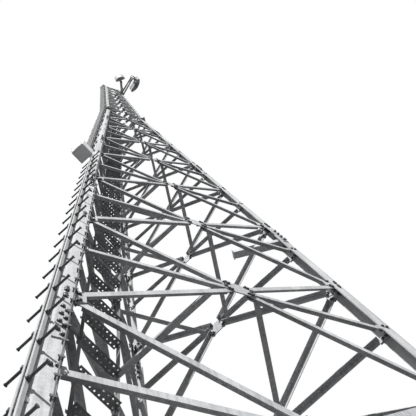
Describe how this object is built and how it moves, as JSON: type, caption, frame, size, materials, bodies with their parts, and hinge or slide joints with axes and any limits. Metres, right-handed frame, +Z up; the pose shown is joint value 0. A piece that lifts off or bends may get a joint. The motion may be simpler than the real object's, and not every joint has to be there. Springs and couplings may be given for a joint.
{
  "type": "cell tower",
  "caption": "Self-supporting three-legged lattice tower with bent-angle legs, crossed bracing, a climbing rail, feeder cables and panel antennas at its head.",
  "frame": {"origin": "middle of the underside of leg A's base plate, at the level of the foundation's top", "axes": "+Z up; +X along the side from leg A toward leg B; +Y level, across that side toward leg D"},
  "size_m": [4.6998, 4.0809, 38.96],
  "materials": {
    "leg_steel": "matte weathered zinc coating",
    "bracing_steel": "matte weathered zinc coating",
    "plate_steel": "matte weathered zinc coating",
    "rail_steel": "matte zinc coating",
    "rung_steel": "zinc coating with worn tread",
    "cabinet_paint": "satin grey paint",
    "cable_jacket": "matte black jacket",
    "antenna_shell": "matte weathered grey shell"
  },
  "bodies": {
    "root": {"base_plate_a": "plate_steel", "leg_a_base": "leg_steel", "leg_a_lower": "leg_steel", "leg_a_upper": "leg_steel", "leg_a_head": "leg_steel", "base_plate_b": "plate_steel", "leg_b_base": "leg_steel", "leg_b_lower": "leg_steel", "leg_b_upper": "leg_steel", "leg_b_head": "leg_steel", "base_plate_d": "plate_steel", "leg_d_base": "leg_steel", "leg_d_lower": "leg_steel", "leg_d_upper": "leg_steel", "leg_d_head": "leg_steel", "side_ab_base": "bracing_steel", "side_ab_lower": "bracing_steel", "side_ab_upper": "bracing_steel", "side_ab_head": "bracing_steel", "side_bd_base": "bracing_steel", "side_bd_lower": "bracing_steel", "side_bd_upper": "bracing_steel", "side_bd_head": "bracing_steel", "side_da_base": "bracing_steel", "side_da_lower": "bracing_steel", "side_da_upper": "bracing_steel", "side_da_head": "bracing_steel", "plan_bracing_base": "bracing_steel", "plan_bracing_lower": "bracing_steel", "plan_bracing_upper": "bracing_steel", "splice_plates": "plate_steel", "head_seats": "plate_steel", "climbing_rail": "rail_steel", "climbing_rungs": "rung_steel", "cable_ladder": "rail_steel", "feeder_cabinet": "cabinet_paint", "feeder_top_box": "cabinet_paint", "feeder_cables": "cable_jacket", "feeder_hangers": "rail_steel", "arms_front": "rail_steel", "pipe_front": "rail_steel", "antenna_front": "antenna_shell", "arms_right": "rail_steel", "pipe_right": "rail_steel", "antenna_right": "antenna_shell", "arms_rear": "rail_steel", "pipe_rear": "rail_steel", "antenna_rear": "antenna_shell"}
  },
  "joints": []
}
